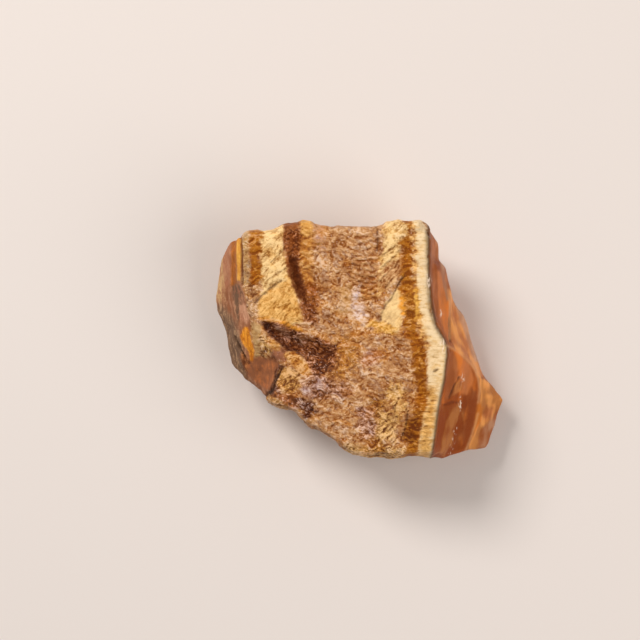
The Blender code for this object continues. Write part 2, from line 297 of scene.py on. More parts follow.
# %% Bands that run through the quartz
BANDS = [
    ("lower_left_mix", 26, "sand", "umber", "curly", 1.2, 1.5, [
        (264, 396), (272, 388), (282, 372), (300, 378), (330, 378), (345, 400), (350, 452),
        (320, 440), (300, 424), (276, 412)]),
    ("rust_cloud", 27, "honey", "umber", "curly", 1.2, 1.5, [
        (330, 336), (352, 336), (360, 350), (357, 372), (342, 382), (326, 376), (338, 360)]),
    ("golden_strip", 28, "gold", "umber", "matted", 0.5, 0.8, [
        (297, 212), (320, 212), (318, 236), (313, 246), (314, 262), (315, 280), (317, 294),
        (313, 306), (308, 306), (304, 290), (300, 278), (299, 262), (298, 248), (299, 232)]),
    ("gold_top", 28, "straw", "ochre", "columns", 0.4, 0.8, [
        (299, 212), (320, 212), (318, 232), (307, 236), (300, 232)]),
    ("cream_plateau", 28, "cream", "toffee", "combed", 0.35, 0.5, [
        (260, 214), (275, 214), (284, 214), (283, 240), (284, 250), (286, 258), (288, 268),
        (291, 278), (294, 287), (297, 297), (300, 305), (302, 314), (302, 322), (290, 328),
        (280, 323), (268, 319), (259, 319), (257, 308), (258, 298), (262, 288), (260, 275),
        (260, 262), (259, 245)]),
    ("yellow_lobe", 28, "straw", "ochre", "combed", 0.6, 0.8, [
        (257, 302), (270, 290), (283, 281), (290, 277), (295, 290), (300, 303), (303, 318),
        (290, 327), (280, 322), (268, 318), (260, 318), (257, 308)]),
    ("orange_band", 28, "bronze", "russet", "columns", 0.35, 1, [
        (249, 214), (260, 214), (261, 240), (260, 262), (261, 275), (259, 286), (248, 287),
        (250, 275), (250, 262), (248, 245)]),
    ("olive_strip", 28, "oat", "olive", "curly", 0.4, 0.6, [
        (241, 214), (249, 214), (248, 245), (250, 262), (249, 285), (243, 286), (242, 262),
        (241, 245)]),
    ("mottled_foot", 28, "sand", "bark", "curly", 0.5, 0.8, [
        (243, 286), (259, 286), (262, 288), (258, 300), (257, 320), (247, 318), (243, 300)]),
    # The crease is partly the stone's dark brown and partly painted shade below the edge of the
    # plateau.
    ("crease", 28, "clay", "rust", "matted", 0.35, 0.7, [
        (285, 212), (298, 212), (301, 232), (300, 248), (299, 262), (302, 276), (306, 290),
        (310, 304), (312, 316), (307, 322), (303, 314), (299, 300), (294, 287), (288, 270),
        (284, 252), (284, 238)]),
    # a painted highlight, a broad sheen on the fibres
    ("sheen_highlight", 28, "highlight_white", "toffee", "curly", 1, 1, [
        (352, 290), (358, 288), (362, 300), (368, 312), (370, 322), (362, 323), (356, 312),
        (351, 300)]),
    ("umber_band", 28, "sand", "umber", "curly", 0.6, 1.2, [
        (369, 212), (379, 212), (380, 240), (378, 262), (379, 280), (376, 300), (372, 316),
        (366, 312), (367, 298), (366, 282), (370, 264), (368, 240)]),
    ("right_cream", 28, "cream", "toffee", "combed", 0.35, 0.7, [
        (384, 212), (404, 212), (404, 236), (401, 250), (399, 264), (396, 278), (388, 290),
        (379, 296), (379, 280), (379, 262), (383, 246), (383, 232)]),
    ("right_cream_low", 28, "cream", "biscuit", "brushed", 0.35, 0.5, [
        (401, 287), (404, 300), (404, 312), (403, 322), (398, 331), (386, 333), (379, 329),
        (380, 318), (385, 304), (393, 293)]),
    ("gold_corner", 28, "yellow", "ochre", "slanted", 0.5, 0.8, [
        (368, 320), (382, 322), (394, 330), (392, 336), (376, 331), (366, 326)]),
    ("lower_umber", 26, "honey", "bark", "curly", 1.2, 1.5, [
        (370, 398), (385, 398), (386, 420), (385, 462), (371, 462), (373, 420)]),
    ("lower_cream", 27, "straw", "umber", "slanted", 0.8, 1.2, [
        (396, 384), (407, 390), (404, 420), (398, 424), (390, 412), (388, 398)]),
    ("brown_band", 28, "bronze", "russet", "columns", 0.35, 1.1, [
        (402, 212), (412, 212), (412.5, 236), (413, 258), (412, 276), (414, 284), (415, 300),
        (416, 316), (418, 330), (423, 342), (427, 350), (427.5, 376), (427, 392), (427, 406),
        (424, 418), (420, 436), (418, 466), (403, 466), (407, 440), (411, 424), (415, 410),
        (416, 398), (416, 384), (414, 374), (413, 358), (411, 344), (405, 332), (401, 320),
        (402, 308), (402, 292), (399, 276), (400, 262), (402, 246)]),
    ("edge_band", 28, "ivory", "oat", "calm", 0.3, 0.5, [
        (412, 212), (420, 212), (430, 236), (430, 280), (432, 310), (437, 326), (449, 348),
        (446, 380), (441, 408), (435, 450), (434, 470), (418, 470), (420, 436), (424, 420),
        (427, 406), (427, 392), (427.5, 376), (427, 352), (424, 340), (419, 330), (418, 314),
        (416, 300), (416, 284), (414, 262), (413, 240)]),
    ("band_fringe", 28, "straw", "umber", "columns", 0.4, 0.8, [
        (411, 222), (416, 226), (417, 262), (417, 284), (418, 300), (421, 318), (425, 334),
        (430, 346), (427, 350), (421, 340), (417, 332), (415, 316), (414, 300), (413, 284),
        (412, 276), (413, 258)]),
    ("edge_gold", 27, "straw", "toffee", "calm", 1, 0.8, [
        (428, 384), (434, 388), (438, 398), (435, 412), (430, 452), (430, 470), (418, 470),
        (421, 436), (425, 418), (428, 404)]),
    ("band_gold", 28, "bronze", "russet", "columns", 0.7, 0.8, [
        (402, 282), (414, 282), (416, 300), (417, 322), (410, 324), (404, 318)]),
    ("band_low", 26, "bronze", "rust", "columns", 0.8, 1, [
        (404, 418), (419, 412), (418, 430), (416, 447), (402, 445)]),
    ("band_mid_low", 26, "bronze", "russet", "columns", 1, 1, [
        (417, 384), (427, 384), (426, 404), (415, 404)]),
    ("fringe_yellow", 28, "yellow", "ochre", "calm", 0.35, 0.6, [
        (414, 286), (418, 286), (419.5, 300), (420, 317), (416, 318), (414.5, 300)]),
    ("lobe_yellow", 28, "marigold", "ochre", "calm", 0.5, 0.8, [
        (401, 296), (404, 297), (404, 312), (402, 318), (400, 308)]),
]
print(len(BANDS), "patches run through the quartz")

# %% [markdown]
# ## Marks on the broad face
#
# Stains, the foot of the crease and the floor of the pit lie on the broken face and do not run
# down the walls; so do painted glints and highlights, painted shade in the crease and painted
# shadow in the pit and beside the pocket. They could be decals. Laying them as one more list,
# faded out below the face, keeps one material and one way of painting.

# %% Marks on the broad face only
FACE_MARKS = [
    ("band_top_cream", 28, "cream", "toffee", "slanted", 0.5, 0.8, [
        (396, 222), (407, 226), (409, 234), (402, 238), (392, 238)]),
    ("tan_wedge", 28, "sand", "umber", "combed", 0.8, 0.8, [
        (384, 264), (401, 258), (400, 272), (390, 288), (381, 298), (380, 280)]),
    ("strip_red", 28, "clay", "russet", "curly", 0.8, 0.8, [
        (305, 282), (319, 284), (318, 306), (309, 309)]),
    # The crease is partly the stone's dark brown and partly painted shade below the edge of the
    # plateau.
    ("crease_core", 27, "bark", "chestnut", "calm", 0.6, 0.5, [
        (288, 256), (297, 256), (299, 270), (303, 280), (306, 300), (300, 302), (294, 286),
        (289, 268)]),
    ("crease_foot", 27, "clay", "rust", "curly", 0.9, 1, [
        (298, 302), (312, 298), (318, 322), (306, 324)]),
    # The ledge's own gold, partly brightened as painted light where it faces the light.
    ("golden_ledge", 27, "marigold", "ochre", "matted", 0.5, 0.6, [
        (257, 315), (270, 318), (284, 321), (302, 329), (299, 334), (284, 327), (270, 322),
        (258, 321)]),
    ("pit", 26, "clay", "chestnut", "tangled", 0.4, 0.5, [
        (261, 322), (272, 321), (284, 325), (299, 332), (320, 337), (336, 345), (337, 358),
        (324, 377), (312, 368), (301, 357), (286, 348), (272, 337)]),
    ("pit_shadow", 26, "cocoa", "soot", "matted", 0.35, 0.3, [
        (260, 320), (268, 322), (276, 334), (290, 346), (309, 357), (307, 361), (290, 353),
        (276, 342), (266, 332)]),
    ("pit_grey", 26, "shell", "bark", "matted", 0.5, 0.5, [
        (273, 325), (284, 327), (292, 335), (290, 341), (282, 337), (275, 331)]),
    ("pit_olive", 25, "olive", "bark", "matted", 0.8, 0.8, [
        (298, 336), (312, 335), (316, 345), (313, 356), (303, 352), (298, 344)]),
    ("pit_right", 26, "clay", "chestnut", "curly", 0.6, 0.8, [
        (300, 338), (316, 340), (333, 347), (338, 356), (330, 358), (314, 352), (302, 350)]),
    ("stain_low", 26, "clay", "chestnut", "tangled", 0.8, 1, [
        (305, 352), (332, 356), (337, 366), (325, 379), (312, 375), (303, 364)]),
    ("pink_ledge", 25, "dusk", "cocoa", "matted", 0.5, 0.5, [
        (270, 348), (280, 346), (288, 354), (287, 361), (278, 362), (271, 357)]),
    ("rim_dark", 24, "clay", "bark", "tangled", 0.9, 1.2, [
        (258, 376), (272, 370), (277, 384), (282, 394), (302, 395), (302, 406), (288, 410),
        (262, 396)]),
    ("pocket_shade", 24, "cocoa", "soot", "curly", 0.5, 0.6, [
        (273, 366), (281, 360), (284, 368), (280, 380), (275, 394), (267, 399), (269, 388),
        (273, 378)]),
    ("gold_block", 26, "gold", "umber", "slanted", 0.35, 0.4, [
        (286, 352), (295, 352), (304, 358), (309, 366), (311, 374), (306, 376), (299, 371),
        (291, 364), (285, 358)]),
    # a painted highlight, whitish lilac
    ("low_highlight", 26, "shell", "bark", "tangled", 1.2, 1.2, [
        (300, 383), (314, 376), (328, 378), (345, 386), (352, 394), (340, 400), (318, 398),
        (303, 396)]),
    ("pearl_spot", 27, "shell", "umber", "curly", 0.8, 0.8, [
        (364, 352), (376, 348), (382, 356), (374, 366), (362, 368)]),
    ("dark_notch", 26, "cocoa", "soot", "tangled", 0.6, 0.8, [
        (297, 397), (312, 400), (316, 412), (307, 418), (299, 409)]),
    ("olive_low", 24, "oat", "olive", "calm", 0.35, 0.4, [
        (252, 323), (261, 326), (262, 345), (259, 358), (254, 358), (254, 342), (251, 332)]),
    ("low_chip", 26, "straw", "toffee", "tangled", 0.8, 0.8, [
        (388, 383), (403, 385), (400, 397), (388, 396)]),
    ("low_gold", 26, "straw", "bark", "slanted", 1, 1, [
        (380, 412), (398, 416), (396, 442), (378, 442)]),
    ("low_pearl", 26, "shell", "bark", "tangled", 0.8, 1, [
        (358, 408), (372, 407), (375, 422), (373, 436), (362, 440), (358, 424)]),
    ("bottom_rim", 24, "straw", "bark", "tangled", 1, 1, [
        (346, 443), (372, 447), (404, 447), (404, 462), (350, 462)]),
    ("speckle_low", 26, "straw", "bark", "tangled", 0.5, 0.8, [
        (259, 335), (268, 337), (271, 352), (262, 355), (259, 345)]),
    ("low_gold_facet", 26, "gold", "umber", "matted", 0.4, 0.4, [
        (267, 341), (273, 340), (280, 344), (280, 351), (272, 350)]),
    ("ring_gold", 26, "gold", "bark", "slanted", 0.5, 0.6, [
        (279, 372), (290, 368), (299, 374), (300, 386), (292, 393), (281, 390), (276, 382)]),
    ("rim_cream", 24, "gold", "bark", "tangled", 0.6, 0.8, [
        (267, 395), (276, 395), (283, 403), (290, 408), (284, 411), (274, 404), (266, 401)]),
    # two painted glints
    ("glint_a", 27, "highlight_white", "cocoa", "matted", 0.5, 0.3, [
        (301, 389), (311, 387), (312, 394), (303, 396)]),
    ("glint_b", 27, "highlight_white", "cocoa", "matted", 0.5, 0.3, [
        (315, 381), (322, 380), (323, 388), (316, 389)]),
    # a painted highlight, pinkish white
    ("top_highlight", 28, "shell", "toffee", "curly", 0.8, 1, [
        (314, 224), (324, 226), (326, 240), (322, 252), (316, 250), (314, 238)]),
    ("top_mauve", 28, "sand", "umber", "curly", 1.2, 1.2, [
        (315, 250), (324, 252), (336, 262), (334, 285), (322, 292), (315, 282)]),
    ("gold_streak", 28, "sand", "toffee", "matted", 0.8, 1, [
        (340, 286), (350, 284), (351, 298), (346, 312), (338, 314), (338, 300)]),
]
print(len(FACE_MARKS), "marks lie on the face alone")

# %% [markdown]
# ## Rind and jasper
#
# The rind is dull ironstone, brown and rose, with grey and orange spots. The jasper is red to
# orange and breaks in facets, each with a tone of its own. A colour ramp over noise would spread
# such spots at random, so each has its own place here.

# %% Patches of the rind and of the jasper
RIND_PATCHES = [
    ("rind_outer", 15, "oat", "dusk", "streaky", 1, 0.5, [
        (212, 240), (225, 240), (225, 262), (224, 300), (212, 306)]),
    ("rind_grey", 15, "putty", "slate", "streaky", 1.2, 0.6, [
        (210, 306), (222, 304), (236, 322), (242, 345), (246, 362), (248, 384), (225, 384),
        (214, 340)]),
    ("rind_orange", 21, "amber", "umber", "cloudy", 0.6, 0.4, [
        (231, 236), (237, 236), (237, 262), (236, 286), (230, 286), (230, 262)]),
    ("rind_mauve", 18, "rose", "dusk", "streaky", 0.5, 0.4, [
        (225, 246), (231, 240), (231, 284), (226, 288), (223, 268)]),
    ("rind_bright", 24, "yellow", "amber", "cloudy", 0.25, 0.25, [
        (236, 232), (240.5, 232), (241, 262), (241, 282), (236.5, 280), (237, 262)]),
    # painted shadow in a fold of the rind
    ("fold_shadow", 21, "rose", "slate", "streaky", 0.4, 0.4, [
        (235, 284), (241, 284), (243, 296), (242, 306), (238, 325), (233, 310), (233, 296)]),
    ("rind_lilac", 21, "dusk", "slate", "streaky", 0.5, 0.4, [
        (233, 286), (241, 286), (242, 299), (236, 302), (232, 296)]),
    ("rind_olive", 17, "putty", "slate", "streaky", 0.8, 0.5, [
        (226, 325), (236, 330), (241, 345), (244, 360), (234, 362), (228, 345)]),
    ("rind_plum", 20, "clay", "chestnut", "cloudy", 0.5, 0.4, [
        (241, 350), (247, 357), (253, 368), (250, 376), (243, 368), (240, 358)]),
    ("pink_facet", 22, "shell", "dusk", "cloudy", 0.3, 0.3, [
        (239, 305), (247, 304), (250, 316), (247, 324), (240, 319)]),
    ("vein", 21, "marigold", "amber", "streaky", 0.25, 0.3, [
        (244, 327), (248, 327), (251, 334), (253, 343), (254, 352), (254, 365), (251, 362),
        (248, 352), (243, 344), (240, 336)]),
    ("red_pocket", 20, "brick", "cocoa", "cloudy", 0.3, 0.4, [
        (247, 366), (256, 357), (270, 358), (279, 363), (275, 373), (271, 386), (266, 390),
        (257, 383), (248, 375)]),
]
JASPER_FACETS = [
    ("strip_a", 23, "clay", "terracotta", "glassy", 0.5, 0.3, [
        (422, 214), (440, 214), (440, 262), (430, 262), (429, 240)]),
    ("strip_a_core", 23, "brick", "terracotta", "glassy", 0.35, 0.3, [
        (432, 230), (436, 236), (436, 258), (432, 260), (431, 240)]),
    ("jasper_margin", 23, "brick", "terracotta", "glassy", 0.4, 0.4, [
        (429, 232), (433, 236), (433, 262), (434, 290), (438, 312), (444, 328), (450, 345),
        (449, 372), (446, 396), (443, 408), (439, 430), (436, 455), (433, 456), (437, 425),
        (441, 406), (445, 384), (447, 350), (436, 326), (430, 300), (428, 270), (428, 240)]),
    ("step_red", 21, "brick", "oxblood", "glassy", 0.5, 0.4, [
        (431, 261), (441, 261), (441, 270), (432, 271)]),
    ("strip_b_left", 22, "brick", "terracotta", "glassy", 0.5, 0.3, [
        (429, 272), (436, 272), (437, 300), (441, 325), (447, 340), (440, 332), (433, 314),
        (429, 290)]),
    ("strip_b_right", 20, "flame", "brick", "glassy", 0.35, 0.3, [
        (437, 271), (447, 274), (449, 295), (450, 318), (449, 341), (442, 326), (438, 300)]),
    ("grey_wedge", 18, "rose", "dusk", "cloudy", 0.4, 0.3, [
        (440, 262), (446, 268), (447, 284), (449, 300), (447, 300), (443, 284), (440, 272)]),
    ("strip_c", 15, "apricot", "brick", "cloudy", 0.3, 0.3, [
        (449, 286), (456, 296), (467, 316), (474, 340), (482, 362), (488, 376), (479, 378),
        (466, 362), (455, 350), (450, 338), (450, 318)]),
    ("strip_c_rim", 11, "shell", "rose", "cloudy", 0.5, 0.3, [
        (453, 292), (462, 306), (470, 320), (474, 338), (482, 362), (475, 361), (467, 342),
        (461, 322), (455, 306)]),
    ("facet_d", 18, "flame", "oxblood", "glassy", 0.3, 0.3, [
        (446, 346), (456, 350), (466, 359), (473, 367), (479, 378), (479, 395), (477, 414),
        (472, 434), (466, 452), (452, 464), (426, 466), (436, 430), (440, 404), (443, 380)]),
    ("facet_d_dull", 21, "brick", "terracotta", "glassy", 0.4, 0.3, [
        (446, 350), (453, 351), (458, 362), (458, 376), (450, 398), (445, 400), (445, 372)]),
    ("facet_d_orange", 18, "flame", "brick", "glassy", 0.6, 0.4, [
        (455, 350), (466, 360), (472, 368), (474, 380), (468, 394), (460, 394), (458, 372)]),
    ("facet_d_low", 17, "copper", "oxblood", "cloudy", 0.8, 0.5, [
        (440, 405), (466, 402), (464, 430), (452, 462), (432, 464), (438, 430)]),
    ("facet_d_dark", 15, "terracotta", "oxblood", "cloudy", 0.6, 0.5, [
        (471, 388), (478, 393), (476, 420), (470, 440), (463, 450), (461, 432), (468, 410)]),
    ("flake", 20, "apricot", "terracotta", "cloudy", 0.25, 0.2, [
        (451, 396), (454, 388), (459, 380), (463, 383), (462, 390), (456, 394)]),
    ("facet_e", 11, "apricot", "copper", "cloudy", 0.25, 0.2, [
        (479, 377), (490, 382), (507, 402), (500, 418), (491, 452), (466, 456), (473, 434),
        (478, 414), (480, 396)]),
    ("facet_e_olive", 10, "brick", "terracotta", "cloudy", 0.8, 0.6, [
        (481, 412), (487, 406), (494, 407), (491, 416), (485, 423)]),
    ("facet_e_rose", 10, "rose", "terracotta", "cloudy", 0.6, 0.5, [
        (480, 430), (490, 420), (499, 408), (502, 414), (497, 436), (490, 452), (478, 452)]),
    ("facet_e_edge", 13, "flame", "amber", "cloudy", 0.5, 0.4, [
        (478, 402), (484, 408), (479, 425), (472, 437), (476, 416)]),
]
print(len(RIND_PATCHES), "patches of rind and", len(JASPER_FACETS), "of jasper")

# %% [markdown]
# ## Painting the corners
#
# Every corner gets a light and a dark colour, turned here into linear light, and a texture. The
# material later mixes the two colours by the grain of the mineral, so a patch is never flat.
#
# Each patch could have a material of its own, with a hard border between two of them. Values on
# the corners run into each other softly, as the bands do, and one material can read them all.

# %% Lay the patches over the base of each mineral
QUARTZ_BASE = ("sand", "umber", "curly")
RIND_BASE = ("rose", "cocoa", "cloudy")
JASPER_BASE = ("brick", "terracotta", "glassy")
WALL, FACE = 16.0, 19.0         # marks of the face fade out between these heights
WEIGHTS = (0.11, 0.36, 0.04)    # of red, green and blue, in the brightness of both tones together
BRIGHTNESS = [0.10, 0.24, 0.32, 0.45, 0.6]
LEAN = [2.6, 2.3, 1.2, 0.8, 0.5]        # over 1 a patch is mostly dark, under 1 mostly pale


def linear(screen):
    """Screen values from 0 to 255, in linear light."""
    part = np.array(screen, float) / 255.0
    return np.where(part <= 0.04045, part / 12.92, ((part + 0.055) / 1.055) ** 2.4)


light, dark, lay = np.zeros((count, 3)), np.zeros((count, 3)), np.zeros((count, 3))


def lay_over(pale, deep, texture, weight):
    """Lay a light tone, a dark tone and a texture over what is there already."""
    for under, over in ((light, linear(TONES[pale])), (dark, linear(TONES[deep])),
                        (lay, np.array(TEXTURES[texture]))):
        under += (over - under) * weight[:, None]


on_face = step(xyz[:, 2], WALL, FACE)
everywhere = np.ones(count)
for base, rows, zone, edge in ((QUARTZ_BASE, BANDS, everywhere, fingers),
                               (None, FACE_MARKS, on_face, fingers),
                               (RIND_BASE, RIND_PATCHES, rind, drawn),
                               (JASPER_BASE, JASPER_FACETS, jasper, drawn)):
    if base:
        lay_over(*base, zone)
    for name, height, pale, deep, texture, soft, ragged, outline in rows:
        reach = inside_distance(plan, placed(outline, height)) + ragged * edge
        lay_over(pale, deep, texture, step(reach, -soft, soft) * zone)
lean = np.interp((light + dark) @ np.array(WEIGHTS), BRIGHTNESS, LEAN)
print("lean from %.2f to %.2f" % (lean.min(), lean.max()))

# %% [markdown]
# ## Cracks, the seam, painted glints and painted edge highlights
#
# A crack row gives its height, its half width, its depth, how dark the painted shade in its groove
# is, and its line. The seam is the thin gap where the quartz breaks away from the jasper, darkened
# by a painted shadow. Runs of painted glints, whitish dots where light catches chipped edges, lie
# along the edges of the jasper's flakes and beside the seam. Painted highlights also run in thin
# lines where two of the jasper's facets meet. Both the glint runs and the edge highlights give
# their height and their line.
#
# Cutting cracks with booleans would leave a torn net of faces. They are a field of depths on the
# corners instead, which is enough for cracks less than a millimetre deep.

# %% Lines on the stone
CRACKS = [
    ("plateau_split", 28, 0.28, 0.5, 0.6, [
        (255, 303), (262, 296), (268, 290), (273, 286), (281, 281)]),
    ("plateau_nick", 28, 0.2, 0.25, 0.4, [(271, 262), (278, 256), (285, 247)]),
    ("plateau_low", 28, 0.18, 0.2, 0.35, [(268, 280), (276, 275), (286, 268)]),
    ("grey_split", 28, 0.26, 0.5, 0.6, [
        (405, 276), (400, 281), (397, 287), (394, 293), (391, 299), (386, 304)]),
    ("grey_split_low", 28, 0.22, 0.35, 0.55, [(386, 304), (382, 312), (380, 321)]),
    ("cream_line_1", 28, 0.15, 0.2, 0.45, [(381, 268), (390, 260), (399, 251)]),
    ("cream_line_2", 28, 0.15, 0.2, 0.45, [(382, 278), (391, 269), (399, 262)]),
    ("cream_line_3", 28, 0.15, 0.2, 0.4, [(385, 288), (392, 279), (400, 271)]),
    ("umber_line", 28, 0.2, 0.3, 0.6, [(376, 224), (378, 236), (377, 250)]),
    ("pocket_crack", 24, 0.38, 0.6, 0.85, [(282, 368), (276, 378), (272, 390), (265, 397)]),
    ("rind_crack", 20, 0.3, 0.6, 0.9, [(235, 337), (239, 347), (245, 358)]),
    # a painted shadow along the seam
    ("seam_shadow", 22, 0.65, 0.3, 0.5, [
        (427, 232), (427.5, 250), (428, 270), (428, 290), (429, 305), (432, 318), (437, 330),
        (443, 341), (447, 351)]),
    ("rind_groove", 26, 0.3, 0.5, 0.6, [(240, 234), (241.5, 250), (241.5, 266), (242.5, 284)]),
    ("low_line_1", 27, 0.2, 0.3, 0.6, [(398, 398), (394, 408), (397, 418)]),
    ("low_line_2", 27, 0.2, 0.3, 0.6, [(402, 403), (408, 412), (406, 426), (401, 440)]),
    ("edge_nick", 28, 0.35, 0.5, 0.9, [(434, 371.5), (437, 370)]),
    ("seam_b_c", 18, 0.3, 0.3, 0.6, [(449, 318), (449.5, 330), (450, 341)]),
    ("flake_line", 20, 0.3, 0.3, 0.6, [(449.5, 397), (453, 389), (457, 381), (459, 377)]),
    ("ledge_line", 18, 0.3, 0.2, 0.3, [(442, 405), (452, 402), (463, 402), (478, 398)]),
    ("cream_line_4", 28, 0.16, 0.2, 0.4, [(380, 258), (388, 251), (398, 244)]),
]
CRACK_WANDER = 0.15
SEAM_AT = JASPER_FROM - 0.15    # across the bands
# the painted shadow along the seam: its half width and how dark it is
SEAM_HALF, SEAM_SHADE = 0.55, 0.8
# Runs of painted glints on chipped edges.
GLINT_RUNS = [
    (19, [(462, 375), (463, 380), (463, 386)]),
    (18, [(461, 398), (460, 409)]),
    (16, [(456, 427), (455, 433)]),
    (15, [(453.5, 439), (450.5, 453)]),
    (26, [(427.5, 275), (429, 280), (429, 286)]),
    (26, [(430, 277), (430.5, 283)]),
    (26, [(440.5, 343), (444.5, 352)]),
    (28, [(443, 340), (446, 350)]),
    (21, [(440, 311), (442, 316)]),
]
# Painted highlights along the ridges between the jasper's facets.
EDGE_HIGHLIGHTS = [
    (19, [(446, 345), (456, 350.5), (466, 359), (474, 367), (479, 378), (481, 390), (479, 403)]),
    (14, [(478, 414), (475, 426), (471, 438), (466, 451)]),
    (19, [(449, 290), (450, 305), (450, 320), (450, 338)]),
]
GLINT_RUN_HALF, EDGE_HIGHLIGHT_HALF = 0.4, 0.35


def ridge(distance, half):
    """1 on a line, fading out over its half width."""
    return np.exp(-(distance / half) ** 2)


crack_depth = np.zeros(count)
crack_shade = np.zeros(count)
# Each crack is sunk by its depth and darkened by painted shade in its groove.
for name, height, half, depth, shade, line in CRACKS:
    reach = line_distance(plan, placed(line, height)) + CRACK_WANDER * fingers
    fade = ridge(reach, half) * on_face
    crack_depth = np.maximum(crack_depth, depth * fade)
    crack_shade = np.maximum(crack_shade, shade * fade)
# The seam gets a painted shadow.
crack_shade = np.maximum(crack_shade, SEAM_SHADE * ridge(across - SEAM_AT, SEAM_HALF))
painted_glints, painted_edge_light = np.zeros(count), np.zeros(count)
for height, line in GLINT_RUNS:
    painted_glints = np.maximum(painted_glints, ridge(line_distance(plan, placed(line, height)), GLINT_RUN_HALF))
for height, line in EDGE_HIGHLIGHTS:
    painted_edge_light = np.maximum(painted_edge_light, ridge(line_distance(plan, placed(line, height)), EDGE_HIGHLIGHT_HALF))
print(len(CRACKS), "cracks,", len(GLINT_RUNS), "runs of chips and", len(EDGE_HIGHLIGHTS), "painted_edge_light")

# %% [markdown]
# ## Ripples
#
# Part of the face breaks in small curved steps, one above the other like roof tiles. Each could
# be an arc drawn by hand. A saw tooth along the bands, bowed a little and disturbed by lumps,
# gives the same row of steps from a few values.

# %% Curved steps
RIPPLE_AREA = [
    (350, 232), (372, 230), (380, 262), (380, 285), (372, 300), (352, 296), (348, 262),
]
RIPPLE_PITCH = 1.5              # millimetres from step to step
RIPPLE_BOW = 0.035              # how quickly the steps curve away from their middle
RIPPLE_MIDDLE = 1.5             # along X
RIPPLE_RISE = 0.2               # share of the pitch that is the steep side
RIPPLE_WANDER, RIPPLE_FRAY = 0.8, 1.2
RIPPLE_FADE = 1.0               # half width of the border of the area

bow = RIPPLE_BOW * (xyz[:, 0] - RIPPLE_MIDDLE) ** 2
phase = (xyz[:, 1] - bow + RIPPLE_WANDER * lumpy) / RIPPLE_PITCH
saw = phase - np.floor(phase)
ripple = (step(saw, 0.0, RIPPLE_RISE) * (1.0 - saw)) * on_face
area = inside_distance(plan, placed(RIPPLE_AREA, FOCUS))
ripple *= step(area + RIPPLE_FRAY * lumpy, -RIPPLE_FADE, RIPPLE_FADE)
print("steps on %.1f%% of the skin" % (100 * (ripple > 0).mean()))

# %% [markdown]
# ## Fine ribs
#
# The pale band beside the jasper is crossed by fine ribs, bundles of fibre that lie side by side.
# They could be raised, but the net of faces is too coarse to draw them well. So only the strip
# that has them is marked, by its place across the bands, and the material draws them in it.

# %% Fine cross ribs on the pale band beside the jasper
RIB_FROM, RIB_TO = 14.8, 18.6
RIB_IN, RIB_OUT = 0.6, 0.3              # millimetres over which they fade in and out

ribbed = step(across, RIB_FROM, RIB_FROM + RIB_IN) * step(across, RIB_TO + RIB_OUT, RIB_TO)
print("ribs on %.1f%% of the skin" % (100 * (ribbed > 0).mean()))

# %% [markdown]
# ## Handing the fields on
#
# The fields are stored on the mesh by name, where the relief and the material both read them.
# Painting them into an image would need an unwrapped skin, and a stone has no good place to cut.

# %% Store the fields
def store(name, values):
    """One number for each corner, kept on the mesh."""
    field = fine.attributes.new(name, "FLOAT", "POINT")
    field.data.foreach_set("value", np.asarray(values, np.float32))


def store_colour(name, values):
    """One colour for each corner, kept on the mesh."""
    field = fine.attributes.new(name, "FLOAT_COLOR", "POINT")
    flat = np.ones((count, 4), np.float32)
    flat[:, :3] = values
    field.data.foreach_set("color", flat.ravel())


store_colour("light", light)
store_colour("dark", dark)
fields = {"grain": lay[:, 0], "diagonal": lay[:, 1], "contrast": lay[:, 2], "jasper": jasper,
          "rind": rind, "crack_depth": crack_depth, "crack_shade": crack_shade, "painted_glints": painted_glints,
          "painted_edge_light": painted_edge_light, "ripple": ripple, "ribbed": ribbed, "lean": lean}
for name, values in fields.items():
    store(name, values)
print("stored", ", ".join(sorted(fields)))

# %% [markdown]
# ## Helpers for node trees
#
# A tree can be wired by hand in the editor. Written out in full, each node takes several lines
# and its sum is hard to see, so short helpers write them: `add` makes any node, `calc`, `vec`,
# `blend` and `ramp` do sums, and `cloud` and `flakes` are the two kinds of noise. They serve both
# kinds of tree.

# %% Nodes, sums and mixes
def add(tree, kind, sockets=(), **settings):
    """A new node, with its settings, and its sockets set to a value or linked."""
    made = tree.nodes.new(kind)
    for key, value in settings.items():
        setattr(made, key, value)
    for key, value in dict(sockets).items():
        if isinstance(key, str):
            target = next(s for s in made.inputs if s.name == key and s.enabled)
        else:
            target = made.inputs[key]
        if isinstance(value, bpy.types.NodeSocket):
            tree.links.new(value, target)
        else:
            target.default_value = value
    return made


def calc(tree, operation, *values):
    """The result of a maths node."""
    return add(tree, "ShaderNodeMath", dict(enumerate(values)), operation=operation).outputs[0]


def vec(tree, operation, *values):
    """The result of a vector maths node."""
    made = add(tree, "ShaderNodeVectorMath", operation=operation)
    slots = (0, 3) if operation == "SCALE" else (0, 1)
    for slot, value in zip(slots, values):
        if isinstance(value, bpy.types.NodeSocket):
            tree.links.new(value, made.inputs[slot])
        else:
            made.inputs[slot].default_value = value
    return made.outputs["Value" if operation == "DOT_PRODUCT" else "Vector"]


def blend(tree, factor, a, b):
    """a where the factor is 0, b where it is 1."""
    return add(tree, "ShaderNodeMix", {"Factor": factor, "A": a, "B": b},
               data_type="FLOAT").outputs[0]


def ramp(tree, value, start, end):
    """A smooth step from 0 at start to 1 at end."""
    return add(tree, "ShaderNodeMapRange", {"Value": value, "From Min": start, "From Max": end},
               interpolation_type="SMOOTHSTEP").outputs[0]


def stretched(tree, place, stretch, turn):
    """The place turned about Z, then scaled; stretch is cycles a millimetre along X, Y and Z."""
    if turn:
        place = add(tree, "ShaderNodeVectorRotate", {"Vector": place, "Angle": turn},
                    rotation_type="Z_AXIS").outputs[0]
    return vec(tree, "MULTIPLY", place, stretch)


